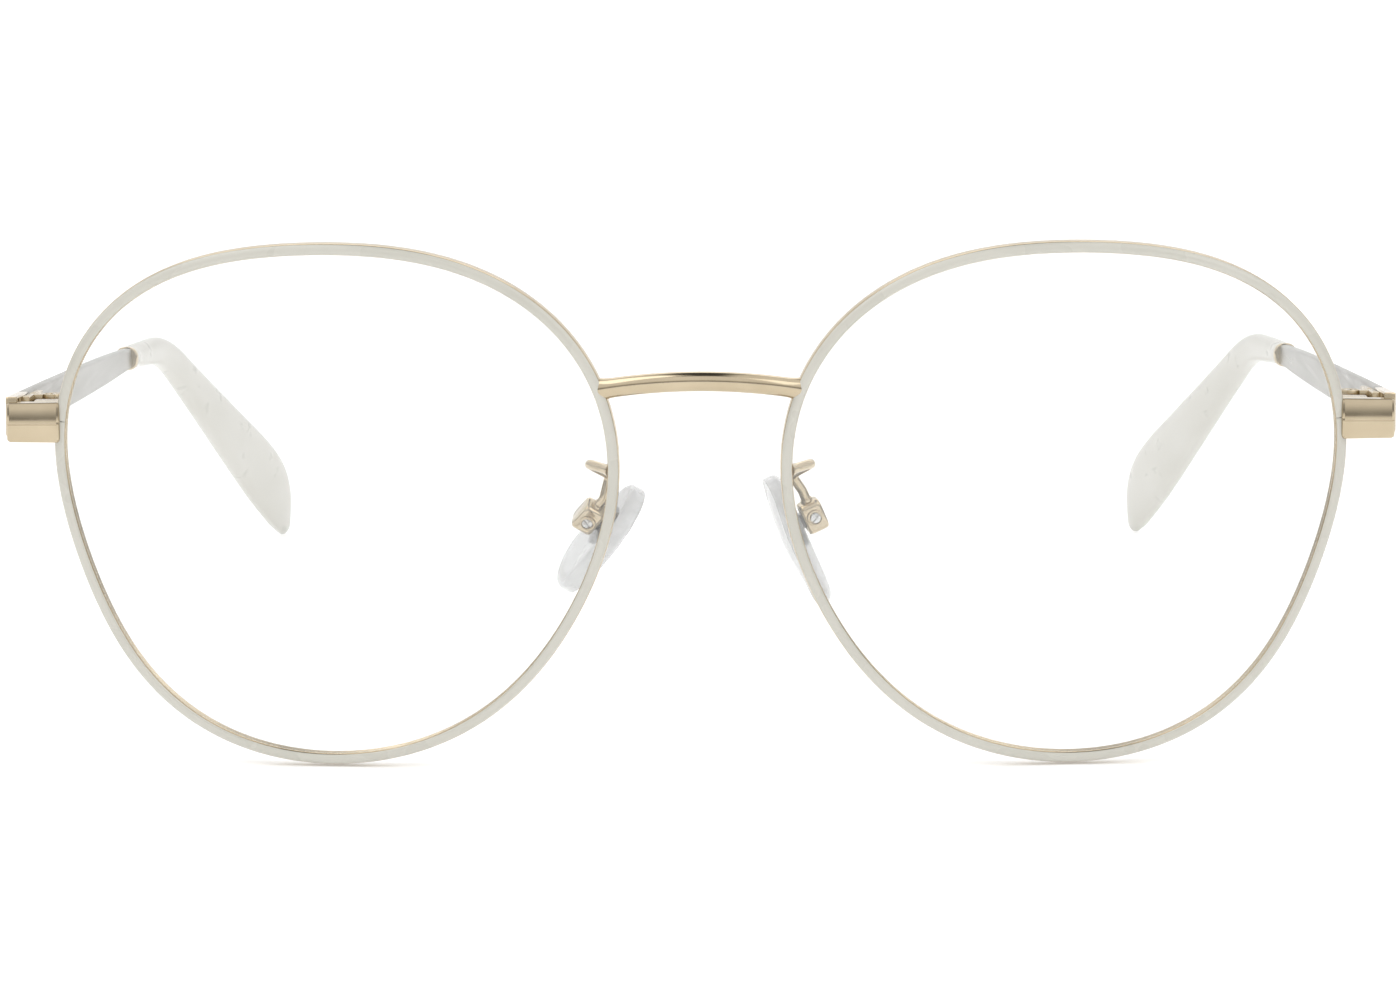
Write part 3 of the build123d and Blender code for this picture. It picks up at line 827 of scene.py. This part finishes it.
def inset_outline(points, distance):
    """A convex anticlockwise outline drawn in by a distance."""
    out = []
    for i, point in enumerate(points):
        along = (points[(i + 1) % len(points)] - points[i - 1]).normalized()
        out.append(point - Vector((along.y, -along.x)) * distance)
    return out


for side_name in ("left", "right"):
    rim(side_name)
    lens(side_name)
    end_block(side_name)
    rim_lock(side_name)
    hinges(side_name)
    temple(side_name)
    tip(side_name)
    pad_arm(side_name)
    pad_holder(side_name)
    pad(side_name)
bridge_bar()


# ---- camera, floor and light -------------------------------------------------

VIEW_DISTANCE = 0.55
PITCH = math.radians(9.7)
YAW = math.radians(-0.45)
ROLL = math.radians(0.25)


def camera():
    forward = Vector((math.sin(YAW) * math.cos(PITCH), math.cos(YAW) * math.cos(PITCH), -math.sin(PITCH)))
    level = Vector((math.cos(YAW), -math.sin(YAW), 0))
    upright = level.cross(forward)
    right = level * math.cos(ROLL) - upright * math.sin(ROLL)
    up = level * math.sin(ROLL) + upright * math.cos(ROLL)
    target = Vector((0, EYE.y, EYE.z)) * MM
    data = bpy.data.cameras.new("camera")
    data.sensor_width = 36
    data.lens = 5500 * 36 / 1400
    data.shift_y = 1.5 / 1400
    data.clip_start = 0.01
    eye = bpy.data.objects.new("camera", data)
    eye.matrix_world = matrix(target - forward * VIEW_DISTANCE, right, up, -forward)
    bpy.context.scene.collection.objects.link(eye)
    bpy.context.scene.camera = eye


def floor():
    """A wide sheet that curves up far behind the glasses."""
    bm = bmesh.new()
    profile = [(-3.0, 0.0), (1.2, 0.0)]
    profile += [(1.2 + 0.8 * math.sin(math.pi / 2 * i / 16), 0.8 - 0.8 * math.cos(math.pi / 2 * i / 16))
                for i in range(1, 17)]
    profile += [(2.0, 3.0)]
    rows = [[bm.verts.new((x, y, z)) for y, z in profile] for x in (-3, 3)]
    for i in range(len(profile) - 1):
        bm.faces.new((rows[0][i], rows[1][i], rows[1][i + 1], rows[0][i + 1]))
    mesh = bpy.data.meshes.new("floor")
    bm.to_mesh(mesh)
    bm.free()
    mesh.shade_smooth()
    material, nodes, links, shader = new_material("floor_paper")
    clouds = noise(nodes, links, 3, 2)
    links.new(tint(nodes, links, clouds, (0.93, 0.93, 0.93), (0.95, 0.95, 0.95)),
              shader.inputs["Base Color"])
    links.new(spread(nodes, links, clouds, 0.75, 0.9), shader.inputs["Roughness"])
    shader.inputs["Specular IOR Level"].default_value = 0.1
    shader.inputs["Emission Color"].default_value = (1, 1, 1, 1)
    shader.inputs["Emission Strength"].default_value = 0.2
    mesh.materials.append(material)
    sheet = bpy.data.objects.new("floor", mesh)
    sheet.location.z = -0.0002
    bpy.context.scene.collection.objects.link(sheet)


def map_range(nodes, links, value, source, target):
    node = nodes.new("ShaderNodeMapRange")
    names = ("From Min", "From Max", "To Min", "To Max")
    for name, number in zip(names, (*source, *target)):
        node.inputs[name].default_value = number
    links.new(value, node.inputs["Value"])
    return node.outputs["Result"]


def area_light(name, place, target, size, power):
    data = bpy.data.lights.new(name, "AREA")
    data.shape = "RECTANGLE"
    data.size, data.size_y = size
    data.energy = power
    lamp = bpy.data.objects.new(name, data)
    lamp.location = place
    lamp.rotation_euler = (Vector(target) - Vector(place)).to_track_quat("-Z", "Y").to_euler()
    bpy.context.scene.collection.objects.link(lamp)


def studio():
    world = bpy.data.worlds.new("studio")
    world.use_nodes = True
    nodes, links = world.node_tree.nodes, world.node_tree.links
    where = nodes.new("ShaderNodeTexCoord")
    split = nodes.new("ShaderNodeSeparateXYZ")
    links.new(where.outputs["Generated"], split.inputs["Vector"])
    ramp = nodes.new("ShaderNodeValToRGB")
    stops = ((0.0, 0.9), (0.02, 0.22), (0.1, 0.4), (0.3, 1.0))
    while len(ramp.color_ramp.elements) < len(stops):
        ramp.color_ramp.elements.new(0.5)
    for element, (place, tone) in zip(ramp.color_ramp.elements, stops):
        element.position = place
        element.color = (tone, tone, tone, 1)
    links.new(split.outputs["Z"], ramp.inputs["Fac"])
    # the dark gap between two overhead soft boxes
    across = nodes.new("ShaderNodeMath")
    across.operation = "ABSOLUTE"
    links.new(split.outputs["X"], across.inputs[0])
    beside = map_range(nodes, links, across.outputs["Value"], (0.1, 0.2), (0, 1))
    below = map_range(nodes, links, split.outputs["Z"], (0.8, 0.9), (1, 0))
    gap = nodes.new("ShaderNodeMath")
    gap.operation = "MAXIMUM"
    links.new(beside, gap.inputs[0])
    links.new(below, gap.inputs[1])
    dim = map_range(nodes, links, gap.outputs["Value"], (0, 1), (0.05, 1))
    both = nodes.new("ShaderNodeVectorMath")
    both.operation = "SCALE"
    links.new(ramp.outputs["Color"], both.inputs[0])
    links.new(dim, both.inputs["Scale"])
    links.new(both.outputs["Vector"], nodes["Background"].inputs["Color"])
    nodes["Background"].inputs["Strength"].default_value = 1.05
    bpy.context.scene.world = world
    area_light("key", (-0.5, -0.35, 0.9), (0, 0, 0.02), (0.7, 0.7), 1.9)
    area_light("fill", (0.6, -0.6, 0.6), (0, 0, 0.02), (0.6, 0.6), 1.0)
    area_light("rear", (0.0, 0.8, 0.9), (0, 0, 0.02), (1.2, 0.5), 1.5)
    bpy.context.scene.view_settings.view_transform = "Standard"


camera()
floor()
studio()
